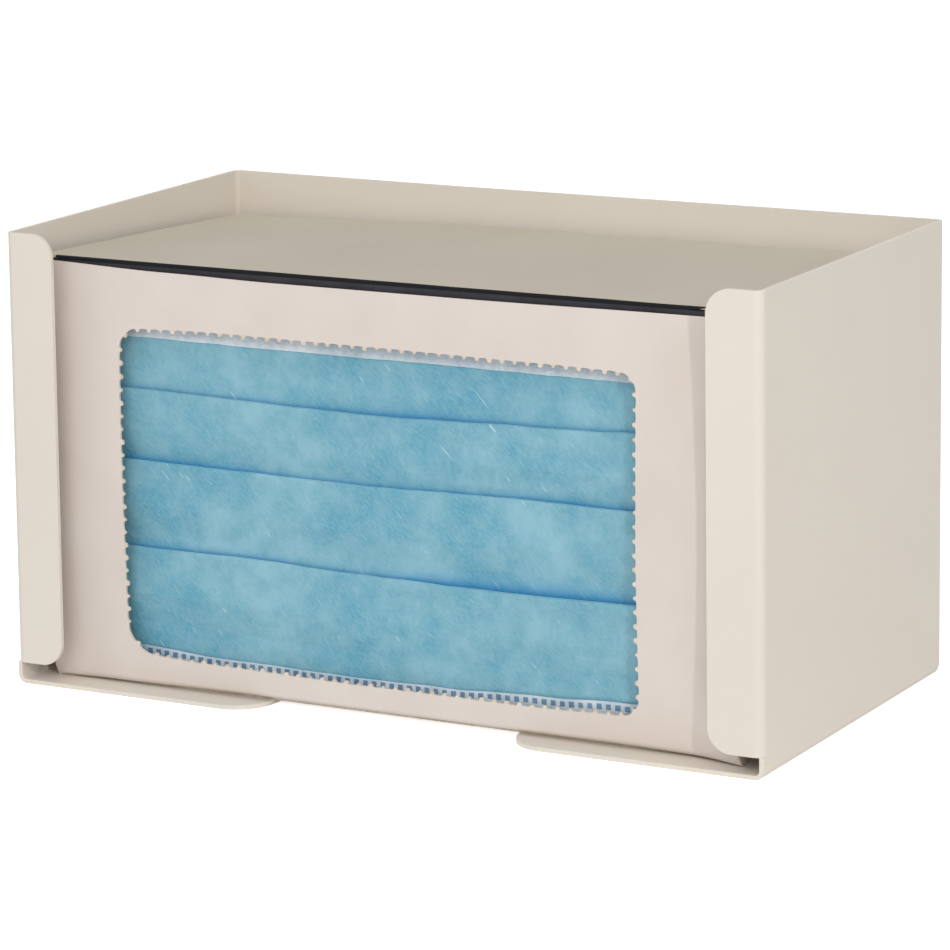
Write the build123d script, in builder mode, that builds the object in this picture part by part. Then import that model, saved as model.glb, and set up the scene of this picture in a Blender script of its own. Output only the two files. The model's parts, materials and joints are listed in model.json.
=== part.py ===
from build123d import *
from math import cos, radians, sin, tan
import os

# Face mask dispenser: a folded steel shell that holds a carton of pleated masks.
# Millimetres. X runs to the right, Y to the back, Z up. The origin is on the surface that the
# shell stands on, under the middle of its outline.

# Masks. Each pleat's place is its fold's share of the height between the hems.
mask_count = 50
mask_length = 175.0
mask_height = 95.0
ply = 0.45
ply_gap = 0.1
mask_gap = 0.27
top_hem = 9.1
bottom_hem = 9.8
pleat_places = (0.849, 0.595, 0.313)
pleat_depth = 10.0
pleat_toe = 1.0
pleat_run = 3.0
pleat_fold_radius = 0.24

# Nose wire and ear loops of the front mask
wire_length = 100.0
wire_height = 3.0
wire_thickness = 0.5
wire_clearance = 0.1
wire_lift = 3.0
loop_band_width = 3.0
loop_thickness = 0.4
loop_clearance = 0.1
loop_anchor_inset = 4.0
loop_reach = 42.0
loop_waist_inset = 18.0
loop_bend_radius = 12.0

# Carton, a little larger than the pack of masks
board = 0.6
mask_end_gap = 6.9
mask_floor_gap = 0.1
mask_head_gap = 6.1
stack_back_gap = 0.15
carton_corner_radius = 1.0
window_side_width = 25.0
window_shift = -1.0
window_sill_height = 8.9
window_head_height = 14.5
window_corner_radius = 5.0
dust_flap_length = 45.0
dust_flap_taper = 8.0
dust_flap_front_gap = 3.4
dust_flap_back_gap = 1.5
dust_flap_corner_radius = 4.0
glue_flap_width = 15.0
glue_flap_end_gap = 4.0

# Lid
lid_lift_angle = 1.6
lid_under_clearance = 0.3
lid_front_clearance = 0.25
lid_side_clearance = 0.5
lid_fold_radius = 0.4
tuck_length = 13.5
tuck_lean_angle = 5.0
tuck_end_inset = 6.0
tuck_shift = -2.5
tuck_corner_radius = 8.0
tuck_clearance = 0.4

# Shell, a little larger than the carton
sheet = 1.1
carton_side_gap = 5.9
carton_shift = -2.0
carton_front_gap = 6.4
carton_back_gap = 3.34
rim_rise = 9.0
bend_inner_radius = 1.2
flange_width = 14.0
flange_corner_radius = 6.0
flange_foot_height = 5.5
wall_toe_setback = 0.5
tab_length = 68.0
tab_front_radius = 10.0
tab_back_radius = 3.0
keyhole_spacing = 101.6
keyhole_drop = 22.0
keyhole_head_radius = 4.5
keyhole_slot_width = 5.0
keyhole_slot_length = 9.0

# Depths of a mask, of the pack and of the tuck flap
layer = ply + ply_gap
pleated_height = mask_height - top_hem - bottom_hem
hem_layer = ply + wire_thickness + 2 * wire_clearance
mask_thickness = 2 * layer + ply
mask_pitch = mask_thickness + mask_gap
loop_space = loop_thickness + 2 * loop_clearance
tuck_depth = lid_front_clearance + board + tuck_length * tan(radians(tuck_lean_angle))
hem_front_gap = tuck_depth + tuck_clearance
back_layer_inset = hem_front_gap + ply / 2 + layer
pack_depth = back_layer_inset + ply / 2 + loop_space + (mask_count - 1) * mask_pitch

# Outer sizes and the window's
carton_width = mask_length + 2 * (mask_end_gap + board)
carton_depth = pack_depth + stack_back_gap + 2 * board
lid_stack = board + lid_under_clearance
carton_height = mask_height + mask_floor_gap + mask_head_gap + 3 * board + lid_stack
window_width = carton_width - 2 * window_side_width
window_height = carton_height - window_sill_height - window_head_height
shell_width = carton_width + 2 * (carton_side_gap + sheet)
shell_depth = carton_depth + carton_front_gap + carton_back_gap + 2 * sheet
shell_height = carton_height + sheet + rim_rise

# Places that follow from the sizes
bend_radius = bend_inner_radius + sheet
side_x = shell_width / 2
front_y = -shell_depth / 2
back_y = shell_depth / 2
flange_edge_x = side_x - flange_width
tab_edge_x = side_x - tab_length
keyhole_z = shell_height - keyhole_drop

carton_front_y = front_y + sheet + carton_front_gap
carton_back_y = carton_front_y + carton_depth
carton_middle_y = (carton_front_y + carton_back_y) / 2
carton_left_x = carton_shift - carton_width / 2
carton_floor_z = sheet
carton_top_z = carton_floor_z + carton_height
inner_left_x = carton_left_x + board
inner_front_y = carton_front_y + board
inner_back_y = carton_back_y - board

lid_axis_y = carton_back_y - board / 2
lid_axis_z = carton_top_z - board / 2
lid_width = carton_width - 2 * lid_side_clearance
lid_reach = lid_axis_y - inner_front_y - lid_front_clearance
tuck_width = lid_width - 2 * tuck_end_inset
flap_top_z = carton_top_z - lid_stack

mask_bottom_z = carton_floor_z + 2 * board + mask_floor_gap
mask_top_z = mask_bottom_z + mask_height
front_mask_back_y = inner_front_y + back_layer_inset
stack_front_y = front_mask_back_y + ply / 2 + loop_space

os.makedirs("parts", exist_ok=True)


def mask_path(middle_y, hem_step):
    """Points of a mask's section: its back layer's middle at middle_y, pleats towards the front."""
    top = mask_top_z - ply / 2
    bottom = mask_bottom_z + ply / 2
    points = [(middle_y - layer, mask_top_z - top_hem), (middle_y - layer, top), (middle_y, top)]
    for place in pleat_places:
        fold = mask_bottom_z + bottom_hem + place * pleated_height
        heel = fold - pleat_depth
        points += [
            (middle_y, heel),
            (middle_y - layer, heel),
            (middle_y - layer, fold),
            (middle_y - 2 * layer, fold),
            (middle_y - 2 * layer, heel - pleat_toe),
            (middle_y, heel - pleat_toe - pleat_run),
        ]
    points += [
        (middle_y, bottom),
        (middle_y - hem_step, bottom),
        (middle_y - hem_step, mask_bottom_z + bottom_hem),
    ]
    return points


def dust_flap_outline(root_x, tip_x):
    """Corners of a dust flap seen from above, from its fold at root_x to its tip at tip_x."""
    near = carton_front_y + dust_flap_front_gap
    far = carton_back_y - dust_flap_back_gap
    return [
        (root_x, near),
        (tip_x, near + dust_flap_taper),
        (tip_x, far - dust_flap_taper),
        (root_x, far),
    ]


# Dispenser shell: walls, back and flanges in plan, then the tabs across the bottom
with BuildPart() as dispenser_shell:
    with BuildSketch(Plane.XY.offset(bend_radius)):
        with BuildLine():
            FilletPolyline(
                (-flange_edge_x, front_y),
                (-side_x, front_y),
                (-side_x, back_y),
                (side_x, back_y),
                (side_x, front_y),
                (flange_edge_x, front_y),
                radius=bend_radius,
            )
            offset(amount=sheet, side=Side.RIGHT)
        make_face()
    extrude(amount=shell_height - bend_radius)
    # Slot that parts each flange from the tab below it
    with BuildSketch(Plane.XY.offset(bend_radius)):
        with Locations((0, front_y + bend_radius / 2)):
            Rectangle(shell_width, bend_radius)
    extrude(amount=flange_foot_height - bend_radius, mode=Mode.SUBTRACT)
    flange_corners = (
        dispenser_shell.edges()
        .filter_by(Axis.Y)
        .filter_by(lambda edge: abs(abs(edge.center().X) - flange_edge_x) < sheet / 2)
    )
    fillet(flange_corners, radius=flange_corner_radius)
    # Wall foot, bottom bend and tab, left side first
    with BuildSketch(Plane.XZ.offset(-front_y - wall_toe_setback)):
        with BuildLine():
            FilletPolyline(
                (-tab_edge_x, 0),
                (-side_x, 0),
                (-side_x, flange_foot_height),
                radius=bend_radius,
            )
            offset(amount=sheet, side=Side.RIGHT)
        make_face()
        mirror(about=Plane.YZ)
    extrude(amount=-(shell_depth - wall_toe_setback - bend_radius))
    tab_corners = (
        dispenser_shell.edges()
        .filter_by(Axis.Z)
        .filter_by(lambda edge: abs(abs(edge.center().X) - tab_edge_x) < sheet / 2)
        .sort_by(Axis.Y)
    )
    fillet(tab_corners[:2], radius=tab_front_radius)
    fillet(tab_corners[2:], radius=tab_back_radius)
    # Lower edge of the back panel, between the corner reliefs
    with BuildSketch(Plane.XY):
        with Locations((0, back_y - sheet / 2)):
            Rectangle(shell_width - 2 * bend_radius, sheet)
    extrude(amount=bend_radius)
    # Keyholes: a head hole with a slot above it, through the back panel
    with BuildSketch(Plane.XZ.offset(-back_y)):
        with Locations(
            (-keyhole_spacing / 2, keyhole_z),
            (keyhole_spacing / 2, keyhole_z),
        ):
            Circle(keyhole_head_radius)
        with Locations(
            (-keyhole_spacing / 2, keyhole_z + keyhole_slot_length / 2),
            (keyhole_spacing / 2, keyhole_z + keyhole_slot_length / 2),
        ):
            SlotCenterToCenter(keyhole_slot_length, keyhole_slot_width, rotation=90)
    extrude(amount=sheet, mode=Mode.SUBTRACT)

# Mask carton: a tube of board closed at the bottom, with its window and its folded-in flaps
with BuildPart() as mask_carton:
    with BuildSketch(Plane.XY.offset(carton_floor_z)):
        with Locations((carton_shift, carton_middle_y)):
            RectangleRounded(carton_width, carton_depth, carton_corner_radius)
    extrude(amount=carton_height)
    offset(amount=-board, openings=mask_carton.faces().sort_by(Axis.Z)[-1])
    # Sides and back end lower than the front, where the dust flaps and the lid fold
    with BuildSketch(Plane.XY.offset(flap_top_z)):
        with Locations((carton_shift, inner_front_y + carton_depth / 2)):
            Rectangle(carton_width, carton_depth)
    extrude(amount=carton_top_z - flap_top_z, mode=Mode.SUBTRACT)
    # Window, torn out of the front along its perforation
    window_x = carton_shift + window_shift
    window_z = carton_floor_z + window_sill_height + window_height / 2
    with BuildSketch(Plane.XZ.offset(-carton_front_y)):
        with Locations((window_x, window_z)):
            RectangleRounded(window_width, window_height, window_corner_radius)
    extrude(amount=-board, mode=Mode.SUBTRACT)
    # Dust flaps under the lid, and the same flaps folded in over the bottom
    for side in (-1, 1):
        root_x = carton_shift + side * (carton_width / 2 - board / 2)
        tip_x = carton_shift + side * (carton_width / 2 - dust_flap_length)
        for height in (carton_floor_z + board, flap_top_z - board):
            with BuildSketch(Plane.XY.offset(height)) as flap:
                with BuildLine():
                    Polyline(*dust_flap_outline(root_x, tip_x), close=True)
                make_face()
                tips = flap.vertices().sort_by(Axis.X)
                fillet(tips[:2] if side > 0 else tips[2:], radius=dust_flap_corner_radius)
            extrude(amount=board)
    # Glue flap inside the left side panel
    with BuildSketch(Plane.XY.offset(carton_floor_z + 2 * board + glue_flap_end_gap)):
        with Locations((inner_left_x + board / 2, inner_back_y - glue_flap_width / 2)):
            Rectangle(board, glue_flap_width)
    extrude(amount=flap_top_z - carton_floor_z - 3 * board - 2 * glue_flap_end_gap)

# Carton lid: panel and tuck flap, lifted a little, as it stands when pushed in by hand
lift = radians(lid_lift_angle)
fold_u = lid_reach - board / 2
lid_plane = Plane(
    origin=(carton_shift, lid_axis_y, lid_axis_z),
    x_dir=(0, -cos(lift), sin(lift)),
    z_dir=(-1, 0, 0),
)
tuck_plane = Plane(
    origin=(carton_shift, lid_axis_y - fold_u * cos(lift), lid_axis_z + fold_u * sin(lift)),
    x_dir=(1, 0, 0),
    z_dir=(0, -cos(lift), sin(lift)),
)
with BuildPart() as carton_lid:
    with BuildSketch(lid_plane):
        with BuildLine():
            FilletPolyline(
                (0, 0),
                (fold_u, 0),
                (fold_u - tuck_length * tan(radians(tuck_lean_angle)), -tuck_length),
                radius=lid_fold_radius,
            )
            offset(amount=board / 2, side=Side.BOTH)
        make_face()
    extrude(amount=lid_width / 2, both=True)
    # Ends of the tuck flap cut back, with its lower corners rounded
    with BuildSketch(tuck_plane):
        with Locations((0, -(board + lid_under_clearance) / 2)):
            Rectangle(carton_width, 2 * tuck_length, align=(Align.CENTER, Align.MAX))
        with Locations((tuck_shift, board / 2)):
            flap_height = tuck_length + board
            RectangleRounded(
                tuck_width,
                2 * flap_height,
                tuck_corner_radius,
                mode=Mode.SUBTRACT,
            )
    extrude(amount=tuck_length / 2, both=True, mode=Mode.SUBTRACT)

# Front mask: one sheet with two hems and three pleats whose folds face up
with BuildPart() as front_mask:
    with BuildSketch(Plane.YZ.offset(carton_shift)):
        with BuildLine():
            FilletPolyline(*mask_path(front_mask_back_y, hem_layer), radius=pleat_fold_radius)
            offset(amount=ply / 2, side=Side.BOTH)
        make_face()
    extrude(amount=mask_length / 2, both=True)

# Nose wire in the pocket of the lower hem
with BuildPart() as nose_wire:
    wire_middle_y = front_mask_back_y - hem_layer / 2
    with BuildSketch(Plane.XZ.offset(-wire_middle_y)):
        with Locations((carton_shift, mask_bottom_z + wire_lift + wire_height / 2)):
            SlotOverall(wire_length, wire_height)
    extrude(amount=wire_thickness / 2, both=True)

# Ear loops: flat elastic bands laid behind the mask, an end at each corner
loop_middle_y = front_mask_back_y + (ply + loop_space) / 2
ear_loops = {}
for side, name in ((-1, "ear_loop_left"), (1, "ear_loop_right")):
    anchor_x = carton_shift + side * (mask_length / 2 - loop_anchor_inset)
    waist_x = anchor_x - side * loop_reach
    low_z = mask_bottom_z + loop_anchor_inset
    high_z = mask_top_z - loop_anchor_inset
    with BuildPart() as ear_loop:
        with BuildSketch(Plane.XZ.offset(-loop_middle_y)):
            with BuildLine():
                FilletPolyline(
                    (anchor_x, low_z),
                    (waist_x, low_z + loop_waist_inset),
                    (waist_x, high_z - loop_waist_inset),
                    (anchor_x, high_z),
                    radius=loop_bend_radius,
                )
                offset(amount=loop_band_width / 2, side=Side.BOTH)
            make_face()
        extrude(amount=loop_thickness / 2, both=True)
    ear_loops[name] = ear_loop

# The rest of the pack, each mask one sheet folded as the front one
stack = {}
for number in range(2, mask_count + 1):
    front_of_mask = stack_front_y + (number - 2) * mask_pitch
    with BuildPart() as mask:
        with BuildSketch(Plane.YZ.offset(carton_shift)):
            with BuildLine():
                Polyline(*mask_path(front_of_mask + 2 * layer + ply / 2, layer))
                offset(amount=ply / 2, side=Side.BOTH, kind=Kind.INTERSECTION)
            make_face()
        extrude(amount=mask_length / 2, both=True)
    stack[f"mask_{number:02d}"] = mask

pieces = {
    "dispenser_shell": dispenser_shell,
    "mask_carton": mask_carton,
    "carton_lid": carton_lid,
    "front_mask": front_mask,
    "nose_wire": nose_wire,
    **ear_loops,
    **stack,
}
for name, piece in pieces.items():
    piece.part.label = name
    export_step(piece.part, f"parts/{name}.step")
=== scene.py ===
import json
from math import cos, exp, pi, radians, sin, tan

import bmesh
import bpy
from mathutils import Matrix, Vector, noise


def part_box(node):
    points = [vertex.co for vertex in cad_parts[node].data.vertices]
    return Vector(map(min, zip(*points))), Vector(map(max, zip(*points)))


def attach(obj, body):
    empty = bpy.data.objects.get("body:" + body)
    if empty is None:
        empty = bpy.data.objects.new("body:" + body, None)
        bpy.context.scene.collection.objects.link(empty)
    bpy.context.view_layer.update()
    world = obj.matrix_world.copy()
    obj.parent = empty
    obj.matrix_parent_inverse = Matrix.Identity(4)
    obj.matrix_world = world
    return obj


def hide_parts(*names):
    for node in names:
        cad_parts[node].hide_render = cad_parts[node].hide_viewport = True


# Face mask dispenser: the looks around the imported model. Lengths here are in millimetres in the
# model's own frame, and become metres when a mesh is made.

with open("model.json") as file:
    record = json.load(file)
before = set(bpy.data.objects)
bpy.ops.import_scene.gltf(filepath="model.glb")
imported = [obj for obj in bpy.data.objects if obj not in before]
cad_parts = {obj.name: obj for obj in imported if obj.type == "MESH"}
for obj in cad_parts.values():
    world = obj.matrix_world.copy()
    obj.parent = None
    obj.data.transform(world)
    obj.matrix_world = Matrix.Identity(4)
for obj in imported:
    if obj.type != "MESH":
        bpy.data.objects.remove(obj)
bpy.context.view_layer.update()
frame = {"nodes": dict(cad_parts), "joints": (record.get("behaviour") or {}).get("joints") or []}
MM = 0.001
DISPENSER = "dispenser"
LID = "lid"


def box_mm(node):
    """Lowest and highest corner of a node, in millimetres."""
    low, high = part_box(node)
    return low / MM, high / MM


shell_low, shell_high = box_mm("dispenser_shell")
carton_low, carton_high = box_mm("mask_carton")
lid_low, lid_high = box_mm("carton_lid")
mask_low, mask_high = box_mm("front_mask")


# Sizes of the board and its window

board = 0.6
carton_corner = 1.0
lid_gap = 0.3
window_left = carton_low.x + 24.0
window_right = carton_high.x - 26.0
window_bottom = carton_low.z + 8.9
window_top = carton_high.z - 14.5
window_radii = {"bottom_right": 4.5, "top_right": 4.5, "top_left": 5.0, "bottom_left": 7.5}
nib_pitch = 3.35
scallop_depth = 0.4
scallop_steps = 6
frame_rings = 14
edge_ring = 1.3
flap_top = carton_high.z - board - lid_gap

# How far the front panel bows out, and how deep behind it that and its edges' shifts fade out
bow_left = 1.0
bow_window = 1.6
bow_right = 3.4
bow_fade_depth = 14.0
line_fade_depth = 1.3
panel_wave = 0.35
bottom_fold = 1.2
left_edge_inset = 1.0
left_inset_top = 30.0

# The crushed lower right corner, and the sag of the carton's back towards its left end
crush_forward = 3.0
crush_aside = 1.2
crush_crease = 0.5
crush_reach = 6.0
crush_height = 9.0
back_sag = 1.7
sag_start = -15.0
sag_end = -97.0

# The carton's flaps
flap_front_gap = 3.4
flap_back_gap = 1.5
flap_taper = 8.0
flap_reach = 45.0
flap_root_gap = 0.3
flap_drop = 0.5
flap_sag = 1.6
bottom_setback = 2.5

# Height shifts of the front panel's edges and of its window's, each as (x, shift) pairs
panel_lines = (
    (carton_low.z, ((-97, 0.0), (-80, 0.5), (-40, 1.0), (60, 0.8), (93, 0.3))),
    (window_bottom, ((-73, -0.1), (-50, -0.9), (-10, -1.3), (40, -1.2), (58, -0.6), (67, -0.2))),
    (28.0, ((-97, 0.0), (93, 0.0))),
    (75.0, ((-97, 0.0), (93, 0.0))),
    (window_top, ((-73, 0.5), (-45, 1.2), (0, 1.1), (40, 0.8), (67, 0.5))),
    (carton_high.z, ((-97, 1.5), (-60, 0.6), (-30, 0.2), (20, 0.2), (93, 0.7))),
)

# Sizes of the front mask, and the lift of its pleats' lips as (x, lift) pairs
ply = 0.45
layer = 0.55
mask_hem_top = 9.1
mask_hem_bottom = 9.8
pleat_folds = (74.4, 55.1, 33.6)
pleat_depth = 10.0
pleat_toe = 1.0
pleat_run = 7.0
wire_step = 1.15
fold_radius = 0.26
crease_height = 84.6
crease_depth = 0.4
crease_width = 0.7
weld_pitch = 2.44
weld_size = 1.4
lip_reach = 11.0
lip_lifts = (
    ((-90, 0.3), (-60, 0.2), (-30, 0.5), (10, 0.9), (35, 0.5), (60, 0.3), (90, 0.3)),
    ((-90, 0.9), (-50, 0.8), (-20, 0.4), (20, 0.5), (50, 0.8), (90, 0.6)),
    ((-90, 0.6), (-45, 0.6), (-10, 0.4), (20, 1.4), (45, 1.9), (70, 1.0), (90, 0.6)),
)
mask_lines = (
    (mask_low.z, ((-90, 0.0), (90, 0.0))),
    (
        mask_low.z + mask_hem_bottom,
        (
            (-90, -1.0), (-70, -1.3), (-47, -2.5), (-10, -2.9),
            (15, -2.6), (40, -1.7), (60, -0.8), (90, -0.2),
        ),
    ),
    (
        mask_low.z + pleat_folds[2],
        ((-90, -0.4), (-40, -0.2), (-10, -1.1), (30, -1.2), (60, -0.8), (90, -0.4)),
    ),
    (mask_low.z + pleat_folds[1], ((-90, 0.3), (-10, -0.4), (40, 0.2), (90, 0.0))),
    (mask_low.z + pleat_folds[0], ((-90, -1.0), (-5, -2.3), (40, -1.4), (90, 0.2))),
    (mask_high.z - mask_hem_top, ((-90, 0.3), (0, 0.0), (90, -0.3))),
    (mask_high.z, ((-90, 0.0), (90, 0.0))),
)


# Meshes

def smoothstep(low, high, value):
    """Smooth rise from 0 at low to 1 at high."""
    t = min(max((value - low) / (high - low), 0.0), 1.0)
    return t * t * (3 - 2 * t)


def along_pairs(x, pairs):
    """Smooth value at x between (x, value) pairs."""
    for (x0, v0), (x1, v1) in zip(pairs, pairs[1:]):
        if x <= x1:
            return v0 + (v1 - v0) * smoothstep(x0, x1, x)
    return pairs[-1][1]


def height_shift(x, z, lines):
    """Height shift at (x, z) between lines that are given from low to high."""
    last = lines[-1][0]
    for (z0, low), (z1, high) in zip(lines, lines[1:]):
        if z <= z1 or z1 == last:
            share = min(max((z - z0) / (z1 - z0), 0.0), 1.0)
            return along_pairs(x, low) * (1 - share) + along_pairs(x, high) * share


def mesh_piece(name, points, faces):
    """A mesh object from points in millimetres."""
    mesh = bpy.data.meshes.new(name)
    mesh.from_pydata([Vector(p) * MM for p in points], [], faces)
    mesh.update()
    piece = bpy.data.objects.new(name, mesh)
    bpy.context.scene.collection.objects.link(piece)
    return piece


def bake_modifiers(piece):
    """Replaces a piece's mesh by its evaluated one, and takes its modifiers off."""
    depsgraph = bpy.context.evaluated_depsgraph_get()
    mesh = bpy.data.meshes.new_from_object(piece.evaluated_get(depsgraph))
    plain = piece.data
    piece.modifiers.clear()
    piece.data = mesh
    mesh.name = piece.name
    if plain.users == 0:
        bpy.data.meshes.remove(plain)


def smooth_by_angle(piece, degrees):
    piece.data.shade_smooth()
    piece.data.set_sharp_from_angle(angle=radians(degrees))


def thicken(piece, thickness, offset=-1.0):
    """Gives an open sheet its thickness. Its inside and rim take the next two material numbers."""
    solid = piece.modifiers.new("thickness", "SOLIDIFY")
    solid.thickness = thickness * MM
    solid.offset = offset
    solid.material_offset = 1
    solid.material_offset_rim = 2
    bake_modifiers(piece)


def grid_faces(rows, columns):
    """Quads of a grid of points that are stored row by row."""
    return [
        (r * columns + c, r * columns + c + 1, (r + 1) * columns + c + 1, (r + 1) * columns + c)
        for r in range(rows - 1)
        for c in range(columns - 1)
    ]


def rounded_path(corners, radius, steps):
    """A 2D path through corners, each inner corner replaced by an arc of the given radius."""
    path = [Vector(corners[0])]
    for before, corner, after in zip(corners, corners[1:], corners[2:]):
        a = (Vector(before) - Vector(corner)).normalized()
        b = (Vector(after) - Vector(corner)).normalized()
        half = a.angle(b) / 2
        reach = min(radius / tan(half), (Vector(before) - Vector(corner)).length / 2,
                    (Vector(after) - Vector(corner)).length / 2)
        centre = Vector(corner) + (a + b).normalized() * (reach / cos(half))
        start = Vector(corner) + a * reach - centre
        end = Vector(corner) + b * reach - centre
        turn = start.angle_signed(end)
        for step in range(steps + 1):
            path.append(centre + Matrix.Rotation(-turn * step / steps, 2) @ start)
    path.append(Vector(corners[-1]))
    return path


def divided(path, longest):
    """A path with its long runs divided into pieces no longer than the given length."""
    points = [path[0]]
    for start, end in zip(path, path[1:]):
        count = max(1, int((end - start).length / longest + 0.5))
        points += [start.lerp(end, step / count) for step in range(1, count + 1)]
    return points


# Node groups

def srgb(red, green, blue):
    """Linear colour of an 8 bit screen colour."""
    def linear(value):
        share = value / 255
        return share / 12.92 if share <= 0.04045 else ((share + 0.055) / 1.055) ** 2.4
    return (linear(red), linear(green), linear(blue), 1.0)


class Wiring:
    """Adds nodes to a tree, each with its settings and with links or values for its inputs."""

    def __init__(self, tree):
        self.tree = tree

    def add(self, kind, inputs=(), **settings):
        node = self.tree.nodes.new(kind)
        for name, value in settings.items():
            setattr(node, name, value)
        for name, value in dict(inputs).items():
            self.feed(node.inputs[name], value)
        return node

    def feed(self, socket, value):
        """Links a socket to another node's output, or sets its value."""
        if isinstance(value, bpy.types.NodeSocket):
            self.tree.links.new(value, socket)
        else:
            socket.default_value = value

    def math(self, operation, a, b=0.0, c=0.0):
        return self.add("ShaderNodeMath", {0: a, 1: b, 2: c}, operation=operation).outputs[0]

    def noise(self, vector, scale, detail=2.0, rough=0.5):
        inputs = {"Vector": vector, "Scale": scale, "Detail": detail, "Roughness": rough}
        return self.add("ShaderNodeTexNoise", inputs).outputs["Fac"]

    def span(self, value, low, high, to_low=0.0, to_high=1.0):
        inputs = {"Value": value, "From Min": low, "From Max": high, "To Min": to_low, "To Max": to_high}
        return self.add("ShaderNodeMapRange", inputs, clamp=True).outputs["Result"]

    def mix(self, share, a, b):
        node = self.add("ShaderNodeMix", data_type="RGBA")
        for index, value in ((0, share), (6, a), (7, b)):
            self.feed(node.inputs[index], value)
        return node.outputs[2]


def shader_group(name, inputs, outputs):
    """An empty shader node group with named sockets, its wiring, its input and its output node."""
    group = bpy.data.node_groups.new(name, "ShaderNodeTree")
    for socket, kind, value in inputs:
        made = group.interface.new_socket(socket, in_out="INPUT", socket_type=kind)
        if value is not None:
            made.default_value = value
    for socket, kind in outputs:
        group.interface.new_socket(socket, in_out="OUTPUT", socket_type=kind)
    wiring = Wiring(group)
    return group, wiring, wiring.add("NodeGroupInput"), wiring.add("NodeGroupOutput")


def make_grain_group():
    """Fine surface grain and slow colour drift, for paint and for board."""
    group, w, inp, out = shader_group(
        "surface grain",
        [
            ("Vector", "NodeSocketVector", None),
            ("Grain Scale", "NodeSocketFloat", 900.0),
            ("Drift Scale", "NodeSocketFloat", 30.0),
            ("Color", "NodeSocketColor", (0.8, 0.8, 0.8, 1.0)),
            ("Drift Color", "NodeSocketColor", (0.7, 0.7, 0.7, 1.0)),
            ("Speckle", "NodeSocketFloat", 0.1),
        ],
        [("Color", "NodeSocketColor"), ("Height", "NodeSocketFloat")],
    )
    vector = inp.outputs["Vector"]
    drift = w.noise(vector, inp.outputs["Drift Scale"], 3.0)
    grain = w.noise(vector, inp.outputs["Grain Scale"], 2.0)
    colour = w.mix(w.span(drift, 0.35, 0.65), inp.outputs["Color"], inp.outputs["Drift Color"])
    speckle = w.math("MULTIPLY", w.span(grain, 0.5, 0.75), inp.outputs["Speckle"])
    colour = w.mix(speckle, colour, inp.outputs["Drift Color"])
    w.tree.links.new(colour, out.inputs["Color"])
    w.tree.links.new(grain, out.inputs["Height"])
    return group


def make_fibre_group():
    """Spunbond nonwoven: fine diagonal filaments, a few long bright ones, and cloudy density."""
    group, w, inp, out = shader_group(
        "nonwoven fibres",
        [
            ("Vector", "NodeSocketVector", None),
            ("Color", "NodeSocketColor", (0.3, 0.6, 0.7, 1.0)),
            ("Pale Color", "NodeSocketColor", (0.5, 0.8, 0.9, 1.0)),
            ("Deep Color", "NodeSocketColor", (0.1, 0.4, 0.6, 1.0)),
            ("Fibre Color", "NodeSocketColor", (0.8, 0.9, 0.95, 1.0)),
            ("Streak Share", "NodeSocketFloat", 0.5),
        ],
        [("Color", "NodeSocketColor"), ("Height", "NodeSocketFloat")],
    )
    vector = inp.outputs["Vector"]

    def streaks(angle, scale, stretch):
        inputs = {"Vector": vector, "Rotation": (0.0, radians(angle), 0.0), "Scale": (stretch, 1.0, 1.0)}
        turned = w.add("ShaderNodeMapping", inputs, vector_type="TEXTURE")
        return w.noise(turned.outputs["Vector"], scale, 2.0, 0.5)

    steep = streaks(52, 3200.0, 7.0)
    shallow = streaks(38, 2600.0, 6.0)
    crossing = streaks(-44, 3000.0, 6.0)
    crossed = w.math("MAXIMUM", steep, w.math("MAXIMUM", shallow, w.math("MULTIPLY", crossing, 0.93)))
    fibres = w.span(crossed, 0.5, 0.72)
    long_one = w.span(streaks(48, 1500.0, 22.0), 0.715, 0.75)
    clouds = w.noise(vector, 42.0, 3.0, 0.55)
    patches = w.noise(vector, 170.0, 3.0, 0.6)
    specks = w.noise(vector, 900.0, 2.0, 0.6)
    density = w.math("MULTIPLY_ADD", patches, 0.35, w.math("MULTIPLY", clouds, 0.5))
    density = w.math("MULTIPLY_ADD", specks, 0.15, density)
    colour = w.mix(w.span(density, 0.38, 0.5), inp.outputs["Deep Color"], inp.outputs["Color"])
    colour = w.mix(w.span(density, 0.5, 0.64), colour, inp.outputs["Pale Color"])
    streaked = w.math("MULTIPLY", fibres, inp.outputs["Streak Share"])
    colour = w.mix(streaked, colour, inp.outputs["Pale Color"])
    colour = w.mix(w.math("MULTIPLY", long_one, 0.6), colour, inp.outputs["Fibre Color"])
    height = w.math("MULTIPLY_ADD", fibres, 0.5, w.math("MULTIPLY", density, 0.8))
    w.tree.links.new(colour, out.inputs["Color"])
    w.tree.links.new(height, out.inputs["Height"])
    return group


grain_group = make_grain_group()
fibre_group = make_fibre_group()


# Materials

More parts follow.
